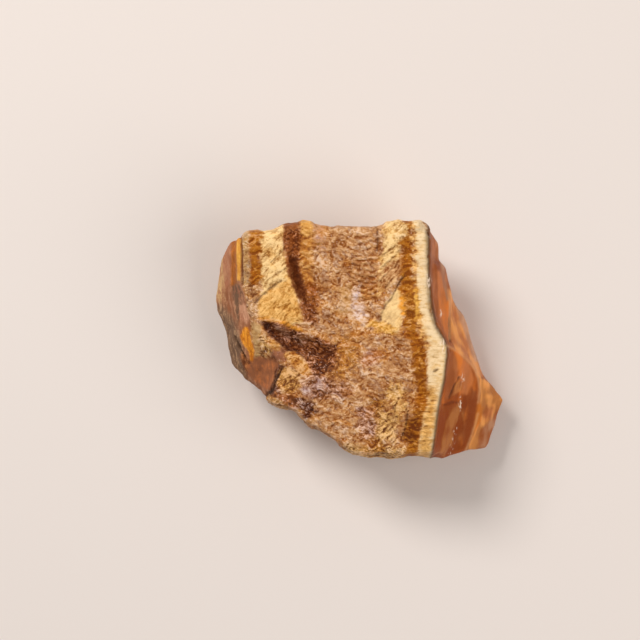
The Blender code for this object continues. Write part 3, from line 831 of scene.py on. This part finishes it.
def cloud(tree, place, stretch, turn=0.0, detail=3.0, rough=0.6, distort=0.0, out=0):
    """Soft noise from 0 to 1; out is 0 for one value and 1 for three."""
    sockets = {"Vector": stretched(tree, place, stretch, turn), "Scale": 1.0, "Detail": detail,
               "Roughness": rough, "Distortion": distort}
    return add(tree, "ShaderNodeTexNoise", sockets).outputs[out]


def flakes(tree, place, stretch, turn=0.0):
    """Sharp-edged flakes, each with its own value from 0 to 1."""
    place = stretched(tree, place, stretch, turn)
    cells = add(tree, "ShaderNodeTexVoronoi", {"Vector": place, "Scale": 1.0})
    return add(tree, "ShaderNodeSeparateXYZ", {"Vector": cells.outputs["Color"]}).outputs[0]


print("helpers ready: add, calc, vec, blend, ramp, stretched, cloud, flakes")

# %% [markdown]
# ## Strands of broken quartz
#
# Tiger's eye is packed silky fibre. Where it breaks, bundles of fibre stand out as strands that
# lie across the bands. Hair or thousands of small rods could show them. Here `strands` answers,
# for a place, how near it is to the top of a strand: a contoured noise gives long fibres, another
# gives chunks, and a third bends both. It is built once in the relief tree and once in the
# material, so the colour follows the form.

# %% Strands of broken quartz
SWAY = (0.27, 0.27, 0.27)       # all four in cycles a millimetre
CONTOUR = (0.11, 0.52, 0.52)
CHUNK = (0.36, 1.2, 1.2)
FLAKE = (0.60, 1.5, 1.5)
WAVES = 4.2                     # strands for the full range of the contoured field
WANDER, CURL = 1.2, 5.6         # millimetres: of all strands, and what full grain adds
FLAKE_SHARE = 0.35
FIBRE_HEIGHT = 0.15             # of the long fibres, on top of the chunks
TURNS = (0.0, -math.pi / 4)     # straight across the bands, and on the diagonal


def strands(tree, place, diagonal, grain):
    """0 in the gaps and 1 along the strands; grainy stone makes them wander and curl."""
    wander = vec(tree, "SUBTRACT", cloud(tree, place, SWAY, 0.0, 1.0, out=1), (0.5, 0.5, 0.5))
    wander = vec(tree, "SCALE", wander, calc(tree, "MULTIPLY_ADD", grain, CURL, WANDER))
    moved = vec(tree, "ADD", place, wander)
    lays = []
    for turn in TURNS:
        lie = calc(tree, "MULTIPLY", cloud(tree, moved, CONTOUR, turn), WAVES * math.tau)
        flake = flakes(tree, moved, FLAKE, turn)
        chunk = blend(tree, FLAKE_SHARE, cloud(tree, moved, CHUNK, turn), flake)
        lays.append(calc(tree, "MULTIPLY_ADD", calc(tree, "SINE", lie), FIBRE_HEIGHT, chunk))
    return blend(tree, diagonal, *lays)


print("strands lie at %s degrees" % ", ".join("%.0f" % math.degrees(turn) for turn in TURNS))

# %% [markdown]
# ## Relief by Geometry Nodes
#
# The tree first melts the small facets away, most of all on the jasper, which breaks smoothly.
# It then moves every corner along its normal: strands on the quartz, drawn-out lumps on the
# rind, shallow scallops on the jasper, ripples and cracks where their fields say. Last it keeps
# the stone inside its packed box and stores how hollow each place is.
#
# Sculpting would give one fixed form. In a tree each kind of relief has a dial, a named input in
# millimetres, and can be turned up or down by itself.

# %% Build the relief tree
relief = bpy.data.node_groups.new("broken stone", "GeometryNodeTree")
relief.interface.new_socket("Geometry", in_out="INPUT", socket_type="NodeSocketGeometry")
relief.interface.new_socket("Geometry", in_out="OUTPUT", socket_type="NodeSocketGeometry")
DIALS = {                       # all in millimetres
    "Strand height": 0.8,
    "Rind lump": 0.55,
    "Scallop": 0.45,
    "Ripple": 0.75,
    "Crack": 1.0,
}
LUMP = (0.8, 0.16, 0.5)         # these two in cycles a millimetre along X, Y and Z
SCALLOP = (0.28, 0.10, 0.22)
SCALLOP_TURN = 0.15             # radians about Z
MELT_ALL, MELT_JASPER = 0.35, 0.6       # how much one pass blurs, and what the jasper adds
MELT_PASSES, HOLLOW_PASSES = 5, 8
CALM = 0.35                     # share of the strands' height that stone without grain keeps
MIDDLE = 0.5                    # of a noise
for name in DIALS:
    relief.interface.new_socket(name, in_out="INPUT", socket_type="NodeSocketFloat")
relief.interface.new_socket("Melt", in_out="INPUT", socket_type="NodeSocketInt")
for name in ("Low corner", "High corner"):
    relief.interface.new_socket(name, in_out="INPUT", socket_type="NodeSocketVector")
given = relief.nodes.new("NodeGroupInput").outputs


def read(name):
    """A number that is stored on the mesh."""
    return add(relief, "GeometryNodeInputNamedAttribute", {"Name": name},
               data_type="FLOAT").outputs[0]


def where():
    """The place of each corner."""
    return add(relief, "GeometryNodeInputPosition").outputs[0]


def facing():
    """The way out of the stone at each corner."""
    return add(relief, "GeometryNodeInputNormal").outputs[0]


seat = vec(relief, "SCALE", where(), 1.0 / MM)
kept = add(relief, "GeometryNodeStoreNamedAttribute",
           {"Geometry": given["Geometry"], "Name": "seat", "Value": seat},
           data_type="FLOAT_VECTOR", domain="POINT").outputs[0]
melting = calc(relief, "MULTIPLY_ADD", read("jasper"), MELT_JASPER, MELT_ALL)
melted = add(relief, "GeometryNodeBlurAttribute",
             {"Value": where(), "Iterations": given["Melt"], "Weight": melting},
             data_type="FLOAT_VECTOR").outputs[0]
smooth = add(relief, "GeometryNodeSetPosition", {"Geometry": kept, "Position": melted}).outputs[0]
print("relief: the tree melts in %d passes" % MELT_PASSES)

# %% Heights of the strands, lumps, scallops, steps and cracks
seat = add(relief, "GeometryNodeInputNamedAttribute", {"Name": "seat"},
           data_type="FLOAT_VECTOR").outputs[0]
strand = strands(relief, seat, read("diagonal"), read("grain"))
strand = calc(relief, "SUBTRACT", strand, MIDDLE)
rough = blend(relief, read("grain"), CALM, 1.0)
rough = calc(relief, "MULTIPLY", rough, read("contrast"))
bare = calc(relief, "SUBTRACT", 1.0, calc(relief, "ADD", read("jasper"), read("rind")))
rough = calc(relief, "MULTIPLY", rough, bare)
height = calc(relief, "MULTIPLY", strand, calc(relief, "MULTIPLY", rough, given["Strand height"]))
lump = calc(relief, "SUBTRACT", cloud(relief, seat, LUMP), MIDDLE)
lump = calc(relief, "MULTIPLY", lump, read("rind"))
height = calc(relief, "MULTIPLY_ADD", lump, given["Rind lump"], height)
scallop = cloud(relief, seat, SCALLOP, SCALLOP_TURN, detail=1.0)
scallop = calc(relief, "SUBTRACT", scallop, MIDDLE)
scallop = calc(relief, "MULTIPLY", scallop, read("jasper"))
height = calc(relief, "MULTIPLY_ADD", scallop, given["Scallop"], height)
height = calc(relief, "MULTIPLY_ADD", read("ripple"), given["Ripple"], height)
sunk = calc(relief, "MULTIPLY", read("crack_depth"), given["Crack"])
height = calc(relief, "SUBTRACT", height, sunk)
print("heights:", ", ".join("%s %.2f" % dial for dial in DIALS.items()), "mm")

# %% Push, hold inside the box, find the hollows and coat
push = vec(relief, "SCALE", facing(), calc(relief, "MULTIPLY", height, MM))
broken = add(relief, "GeometryNodeSetPosition", {"Geometry": smooth, "Offset": push}).outputs[0]
held = vec(relief, "MAXIMUM", where(), given["Low corner"])
held = vec(relief, "MINIMUM", held, given["High corner"])
boxed = add(relief, "GeometryNodeSetPosition", {"Geometry": broken, "Position": held}).outputs[0]

around = add(relief, "GeometryNodeBlurAttribute",
             {"Value": where(), "Iterations": HOLLOW_PASSES},
             data_type="FLOAT_VECTOR").outputs[0]
hollow = vec(relief, "DOT_PRODUCT", vec(relief, "SUBTRACT", around, where()), facing())
marked = add(relief, "GeometryNodeStoreNamedAttribute",
             {"Geometry": boxed, "Name": "hollow", "Value": calc(relief, "DIVIDE", hollow, MM)},
             data_type="FLOAT", domain="POINT").outputs[0]
whole = add(relief, "GeometryNodeRealizeInstances", {"Geometry": marked}).outputs[0]
stone_paint = bpy.data.materials.new("banded_quartz")
coated = add(relief, "GeometryNodeSetMaterial", {"Geometry": whole, "Material": stone_paint})
out = relief.nodes.new("NodeGroupOutput")
relief.links.new(coated.outputs[0], out.inputs["Geometry"])
print("relief tree has", len(relief.nodes), "nodes")

# %% [markdown]
# ## Running the tree
#
# A modifier would run again at every change. It is run once, with each dial set by its socket's
# identifier, and the result becomes the mesh, so the mesh holds what is seen.

# %% Run the tree and keep its mesh
run = skin.modifiers.new("relief", "NODES")
run.node_group = relief
values = {**DIALS, "Melt": MELT_PASSES, "Low corner": cad_low, "High corner": cad_high}
for item in relief.interface.items_tree:
    if item.in_out == "INPUT" and item.name in values:
        value = values[item.name]
        run[item.identifier] = list(value) if isinstance(value, Vector) else value
broken_skin = evaluated(skin)
skin.modifiers.remove(run)
skin.data = broken_skin
for polygon in broken_skin.polygons:
    polygon.use_smooth = True
depths = np.empty(len(broken_skin.vertices), np.float32)
broken_skin.attributes["hollow"].data.foreach_get("value", depths)
print("hollows from %.2f to %.2f mm" % (depths.min(), depths.max()))

# %% [markdown]
# ## The material
#
# One group, *mineral tone*, answers how light or dark a point is from 0 to 1: strands on the
# quartz, streaks drawn out along the bands on the rind, faint clouds on the jasper. The material
# mixes the painted dark and light colours by it.
#
# Three materials could do it, but where two minerals meet the skin would show a hard line. One
# group that blends the three by their masks has none, and its inputs can be tried one at a time.

# %% Scales and strengths of the tone
# Each noise has its cycles a millimetre along X, Y and Z, and its turn about Z in radians.
SPECK = ((1.5, 2.4, 2.4), 0.3)
MOOD = ((0.10, 0.15, 0.13), 0.2)
BLOTCH = ((0.30, 0.36, 0.36), 0.9)
RIB_SWING = ((0.18, 0.6, 0.6), 0.0)
STREAK = ((0.9, 0.26, 0.6), 0.0)
HAZE = ((0.35, 0.12, 0.25), 0.12)
SPARK = ((1.3, 2.2, 2.2), 0.9)
DRIFT = ((0.17, 0.26, 0.2), 0.4)
CHILL = ((0.7, 1.1, 1.1), 0.6)
CHILL_SHIFT = (40.0, 0.0, 0.0)          # millimetres, to read another part of the flakes
SPECK_RANGE = (0.32, 0.68)              # where a noise starts to count, and where it is full
WIDE_RANGE = (0.3, 0.7)
SPARK_RANGE = (0.62, 0.69)
SPECK_SHARE, STREAK_SPECKS = 0.28, 0.25
MOOD_STRENGTH, BLOTCH_STRENGTH = 0.7, 0.55
RIB_PITCH, RIB_SWAY = 1.0, 2.2          # millimetres from rib to rib, and pitches they wander
RIB_EDGE = (0.16, 0.02)                 # of the pitch, from beside a rib to its middle
RIB_STRENGTH = -0.24
GAIN = 1.6                              # contrast of the whole stone
print("ribs every %.1f mm" % RIB_PITCH)

# %% The group that gives the tone
def new_group(name, takes, gives):
    """A shader node group, what it takes in and where its results go."""
    group = bpy.data.node_groups.new(name, "ShaderNodeTree")
    for title, kind in takes:
        group.interface.new_socket(title, in_out="INPUT", socket_type="NodeSocket" + kind)
    for title, kind in gives:
        group.interface.new_socket(title, in_out="OUTPUT", socket_type="NodeSocket" + kind)
    return group, group.nodes.new("NodeGroupInput").outputs, group.nodes.new("NodeGroupOutput")


tone, takes, gives = new_group(
    "mineral tone",
    [("Place", "Vector"), ("Grain", "Float"), ("Diagonal", "Float"), ("Rind", "Float"),
     ("Jasper", "Float"), ("Contrast", "Float"), ("Ribbed", "Float"), ("Lean", "Float")],
    [("Tone", "Float"), ("Glint", "Float"), ("Drift", "Float"), ("Chill", "Float")])
spot = takes["Place"]
strand = strands(tone, spot, takes["Diagonal"], takes["Grain"])
fine_speck = ramp(tone, cloud(tone, spot, *SPECK, distort=0.8), *SPECK_RANGE)
body = blend(tone, SPECK_SHARE, strand, fine_speck)
mood = calc(tone, "SUBTRACT", cloud(tone, spot, *MOOD, detail=2.0), MIDDLE)
body = calc(tone, "MULTIPLY_ADD", mood, MOOD_STRENGTH, body)
blotch = calc(tone, "SUBTRACT", cloud(tone, spot, *BLOTCH, detail=2.0), MIDDLE)
body = calc(tone, "MULTIPLY_ADD", blotch, BLOTCH_STRENGTH, body)
rib_place = add(tone, "ShaderNodeSeparateXYZ", {"Vector": spot}).outputs["Y"]
sway = cloud(tone, spot, *RIB_SWING, detail=2.0)
rib = calc(tone, "MULTIPLY_ADD", sway, RIB_SWAY, calc(tone, "DIVIDE", rib_place, RIB_PITCH))
rib = calc(tone, "PINGPONG", rib, 0.5)
rib = calc(tone, "MULTIPLY", ramp(tone, rib, *RIB_EDGE), takes["Ribbed"])
body = calc(tone, "MULTIPLY_ADD", rib, RIB_STRENGTH, body)
streaks = cloud(tone, spot, *STREAK, detail=4.0, rough=0.65, distort=0.6)
streaks = blend(tone, STREAK_SPECKS, ramp(tone, streaks, *WIDE_RANGE), fine_speck)
body = blend(tone, takes["Rind"], body, streaks)
haze = cloud(tone, spot, *HAZE, detail=2.0, rough=0.5, distort=0.3)
body = blend(tone, takes["Jasper"], body, ramp(tone, haze, *WIDE_RANGE))
swung = calc(tone, "MULTIPLY", calc(tone, "SUBTRACT", body, MIDDLE), takes["Contrast"])
swung = calc(tone, "MULTIPLY_ADD", swung, GAIN, MIDDLE)
level = add(tone, "ShaderNodeClamp", {"Value": swung}).outputs[0]
level = calc(tone, "POWER", level, takes["Lean"])
tone.links.new(level, gives.inputs["Tone"])
print("tone from strands, specks, ribs, streaks and haze:", len(tone.nodes), "nodes")

# %% Painted glints, drifts and chills of the same group
# Painted glints: small bright spots on grainy quartz, which the colour turns pale like the painted
# sheen.
spark = cloud(tone, spot, *SPARK, detail=2.0, rough=0.5, distort=0.8)
spark = calc(tone, "MULTIPLY", ramp(tone, spark, *SPARK_RANGE), takes["Grain"])
tone.links.new(spark, gives.inputs["Glint"])
drift = cloud(tone, spot, *DRIFT, rough=0.65, distort=0.5)
tone.links.new(drift, gives.inputs["Drift"])
chill = flakes(tone, vec(tone, "ADD", spot, CHILL_SHIFT), *CHILL)
tone.links.new(chill, gives.inputs["Chill"])
print("group gives", ", ".join(socket.name for socket in gives.inputs if socket.name))

# %% [markdown]
# ## Colour
#
# Each patch lies between its dark and its light colour. On top of that golden silk drifts through
# the grainy quartz and some flakes look cooler. The gaps between strands get painted shade, and
# the tops of strands and small glints get a painted pale highlight. Each could be painted by hand.
# They follow the fibre, so they are tints that the outputs of the group switch on, each with a
# strength of its own.

# %% Colours and masks for the material
RAISED, HOLLOW = -0.10, 0.18            # millimetres below the places around
HOLLOW_MIDDLE, HOLLOW_STRENGTH = 0.35, -0.35

stone_paint.use_nodes = True
paint = stone_paint.node_tree
bsdf = paint.nodes["Principled BSDF"]


def field(name, socket="Fac"):
    """What is stored on the mesh by this name."""
    return add(paint, "ShaderNodeAttribute", attribute_name=name).outputs[socket]


def tint(factor, a, b, how="MIX"):
    """Colour a turned towards b; b may be a screen colour."""
    made = add(paint, "ShaderNodeMix", {"Factor": factor}, data_type="RGBA", blend_type=how)
    for socket, value in (("A", a), ("B", b)):
        target = next(s for s in made.inputs if s.name == socket and s.enabled)
        if isinstance(value, bpy.types.NodeSocket):
            paint.links.new(value, target)
        else:
            target.default_value = (*linear(value), 1.0)
    return next(s for s in made.outputs if s.enabled)


spot = field("seat", "Vector")
mineral = add(paint, "ShaderNodeGroup", {
    "Place": spot, "Grain": field("grain"), "Rind": field("rind"), "Diagonal": field("diagonal"),
    "Jasper": field("jasper"), "Contrast": field("contrast"), "Ribbed": field("ribbed"),
    "Lean": field("lean")}, node_tree=tone)
shade = mineral.outputs["Tone"]
# Painted shade and light from the relief: darker in hollows, lighter on raised parts.
sunken = calc(paint, "SUBTRACT", ramp(paint, field("hollow"), RAISED, HOLLOW), HOLLOW_MIDDLE)
shade = calc(paint, "MULTIPLY_ADD", sunken, HOLLOW_STRENGTH, shade)
shade = add(paint, "ShaderNodeClamp", {"Value": shade}).outputs[0]
bare = calc(paint, "SUBTRACT", 1.0, calc(paint, "ADD", field("jasper"), field("rind")))
bare = add(paint, "ShaderNodeClamp", {"Value": bare}).outputs[0]
print("material reads", sum(node.type == "ATTRIBUTE" for node in paint.nodes), "attributes")

# %% Mix the colours of the fibre
# Of the four tints, the third is painted shade for the gaps between strands and the fourth is the
# pale colour of a painted highlight on their tops.
GOLD, COOL, GAP_SHADE, PALE_HIGHLIGHT = (255, 228, 156), (222, 224, 255), (110, 72, 44), (246, 228, 220)
GOLD_STRENGTH, GAP_SHADE_STRENGTH, SHEEN_STRENGTH, SHEEN_TINT = 0.8, 0.3, 0.55, 0.6
GOLD_PLAIN, GOLD_GRAINY = 0.4, 0.6      # what all quartz takes, and what full grain adds
GOLD_RANGE, COOL_RANGE = (0.50, 0.64), (0.55, 0.9)      # of the drifts and of the chills
GAP_SHADE_RANGE, SHEEN_RANGE = (0.16, 0.0), (0.62, 1.0)       # of the tone

colour = tint(shade, field("dark", "Color"), field("light", "Color"))
drift = mineral.outputs["Drift"]
golden = calc(paint, "MULTIPLY", ramp(paint, drift, *GOLD_RANGE), bare)
taken = calc(paint, "MULTIPLY_ADD", field("grain"), GOLD_GRAINY, GOLD_PLAIN)
golden = calc(paint, "MULTIPLY", golden, taken)
colour = tint(calc(paint, "MULTIPLY", golden, GOLD_STRENGTH), colour, GOLD, "MULTIPLY")
cooled = calc(paint, "MULTIPLY", ramp(paint, mineral.outputs["Chill"], *COOL_RANGE), bare)
cooled = calc(paint, "MULTIPLY", cooled, calc(paint, "SUBTRACT", 1.0, golden))
colour = tint(calc(paint, "MULTIPLY", cooled, field("grain")), colour, COOL, "MULTIPLY")
# Painted shade: the darkest tones, in the gaps between strands, are darkened further.
gap_shade = calc(paint, "MULTIPLY", ramp(paint, shade, *GAP_SHADE_RANGE), bare)
colour = tint(calc(paint, "MULTIPLY", gap_shade, GAP_SHADE_STRENGTH), colour, GAP_SHADE, "MULTIPLY")
# Painted highlight: the tops of strands and the glints turn towards a pale sheen colour.
pale = calc(paint, "MULTIPLY", field("grain"), SHEEN_TINT)
pale = tint(pale, field("light", "Color"), PALE_HIGHLIGHT)
painted_sheen = calc(paint, "MAXIMUM", ramp(paint, shade, *SHEEN_RANGE), mineral.outputs["Glint"])
painted_sheen = calc(paint, "MULTIPLY", painted_sheen, bare)
colour = tint(calc(paint, "MULTIPLY", painted_sheen, SHEEN_STRENGTH), colour, pale)
print("fibre tints: gold", GOLD, "cool", COOL, "gap_shade", GAP_SHADE, "painted_sheen", PALE_HIGHLIGHT)

# %% Painted shade in cracks, painted glints and painted edge highlights over the colours of the fibre
# The first is painted shade in cracks and the seam, the second the white of painted glints, the
# third the colour of painted highlights on the jasper's ridges.
CRACK_SHADE, GLINT_WHITE, EDGE_LIGHT = (66, 42, 28), (246, 220, 196), (236, 178, 122)
GLINT_DOTS = (1.6, 0.7, 0.7)               # cycles a millimetre along X, Y and Z
GLINT_DOT_RANGE = (0.52, 0.60)
EDGE_LIGHT_STRENGTH = 0.4

# Painted shade in the cracks and along the seam.
colour = tint(field("crack_shade"), colour, CRACK_SHADE)
# Painted glints, dotted along the chipped edges.
dotted_glint = ramp(paint, cloud(paint, spot, GLINT_DOTS, detail=1.0), *GLINT_DOT_RANGE)
colour = tint(calc(paint, "MULTIPLY", dotted_glint, field("painted_glints")), colour, GLINT_WHITE)
# Painted highlights along the ridges between facets.
colour = tint(calc(paint, "MULTIPLY", field("painted_edge_light"), EDGE_LIGHT_STRENGTH), colour, EDGE_LIGHT)
paint.links.new(colour, bsdf.inputs["Base Color"])
print("colour takes", len(paint.nodes), "nodes")

# %% [markdown]
# ## Finish
#
# Freshly broken quartz is waxy, the jasper a little smoother and the rind dull. A clear coat
# would look polished. Roughness alone tells the three apart, and a shallow bump adds the grit
# that is finer than the net of faces.

# %% Finish: quartz waxy, jasper smoother, rind dull
WAXY, SMOOTHER = 0.50, 0.40             # roughness of quartz and of jasper
DULL, SILKY = 0.15, -0.08               # what the rind adds, and what the tops of strands lose
GRIT = (2.6, 3.4, 3.4)                  # cycles a millimetre along X, Y and Z
SHADE_HEIGHT = 0.8                      # of a strand in the bump, against the grit

surface = blend(paint, field("jasper"), WAXY, SMOOTHER)
surface = calc(paint, "MULTIPLY_ADD", field("rind"), DULL, surface)
surface = calc(paint, "MULTIPLY_ADD", shade, SILKY, surface)
paint.links.new(surface, bsdf.inputs["Roughness"])
bsdf.inputs["Specular IOR Level"].default_value = 0.14
bsdf.inputs["Specular Tint"].default_value = (1.0, 0.80, 0.58, 1.0)
ground = calc(paint, "MULTIPLY_ADD", shade, SHADE_HEIGHT, cloud(paint, spot, GRIT))
bump = add(paint, "ShaderNodeBump", {"Height": ground, "Strength": 0.6, "Distance": 0.2 * MM})
paint.links.new(bump.outputs[0], bsdf.inputs["Normal"])
print("finish: roughness %.2f quartz, %.2f jasper, %.2f rind" % (WAXY, SMOOTHER, WAXY + DULL))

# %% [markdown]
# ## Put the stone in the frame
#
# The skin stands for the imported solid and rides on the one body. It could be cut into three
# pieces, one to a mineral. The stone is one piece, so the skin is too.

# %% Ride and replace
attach(skin, "root")
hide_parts("tigers_eye_stone")
print("stone in place,", 2 * len(broken_skin.polygons), "triangles")

# %% [markdown]
# ## Floor
#
# A stone this size is shown lying on a table. A curved backdrop would hide the far edge, but seen
# from above there is no edge, so one flat pale square is enough. It is stage, not part.

# %% Floor
FLOOR_HALF = 2.0                # metres

floor_mesh = bpy.data.meshes.new("floor")
corners = [(-FLOOR_HALF, -FLOOR_HALF, 0.0), (FLOOR_HALF, -FLOOR_HALF, 0.0),
           (FLOOR_HALF, FLOOR_HALF, 0.0), (-FLOOR_HALF, FLOOR_HALF, 0.0)]
floor_mesh.from_pydata(corners, [], [(0, 1, 2, 3)])
floor = bpy.data.objects.new("floor", floor_mesh)
bpy.context.scene.collection.objects.link(floor)
floor_paint = bpy.data.materials.new("pale_floor")
floor_paint.use_nodes = True
floor_bsdf = floor_paint.node_tree.nodes["Principled BSDF"]
floor_bsdf.inputs["Base Color"].default_value = (*linear((226, 216, 210)), 1.0)
floor_bsdf.inputs["Roughness"].default_value = 0.8
floor_mesh.materials.append(floor_paint)
print("floor %.0f m wide" % (2 * FLOOR_HALF))

# %% [markdown]
# ## Light
#
# The stone is lit as beside a window: one broad soft light from the upper left, a weaker one from
# the right for what a room throws back, and a low even sky. A sun lamp would be simpler, but its
# hard shadows would break up the fine relief.

# %% Light
LIT = Vector((0.0, 0.0, 0.02))  # metres, the point that both lights face


def soft_light(name, stand, size, watts, hue):
    """A round area light, size and place in metres."""
    lamp = bpy.data.lights.new(name, "AREA")
    lamp.shape, lamp.size, lamp.energy, lamp.color = "DISK", size, watts, hue
    holder = bpy.data.objects.new(name, lamp)
    holder.location = stand
    holder.rotation_mode = "QUATERNION"
    holder.rotation_quaternion = (LIT - Vector(stand)).to_track_quat("-Z", "Y")
    bpy.context.scene.collection.objects.link(holder)


soft_light("window", stand=(-0.55, 0.60, 0.75), size=0.45, watts=9.5, hue=(1.0, 0.98, 0.95))
soft_light("bounce", stand=(0.60, -0.20, 0.60), size=0.80, watts=4.0, hue=(1.0, 0.96, 0.92))
sky = bpy.data.worlds.new("sky")
bpy.context.scene.world = sky
sky.use_nodes = True
backdrop = sky.node_tree.nodes["Background"]
backdrop.inputs["Color"].default_value = (1.0, 0.98, 0.96, 1.0)
backdrop.inputs["Strength"].default_value = 0.28
print("two soft lights and a sky")

# %% [markdown]
# ## Camera
#
# The camera is the eye of the drawing sheet. A flat, orthographic view would be simpler to work
# out, but the outlines were placed through a lens, which shows what stands high a little larger.

# %% Camera
SENSOR = 36.0                   # millimetres
lens = bpy.data.cameras.new("camera")
lens.sensor_width = SENSOR
lens.lens = SENSOR * (EYE[2] - FOCUS) / (PIXEL * SHEET)
lens.clip_start, lens.clip_end = 0.05, 10.0     # metres
camera = bpy.data.objects.new("camera", lens)
camera.location = [v * MM for v in EYE]
bpy.context.scene.collection.objects.link(camera)
bpy.context.scene.camera = camera
bpy.context.scene.view_settings.view_transform = "Standard"
print("lens %.0f mm, %.2f m above the floor" % (lens.lens, camera.location.z))

# %% [markdown]
# ## Last update
#
# The view layer is brought up to date once more at the end.

# %% Update the view layer and finish
bpy.context.view_layer.update()
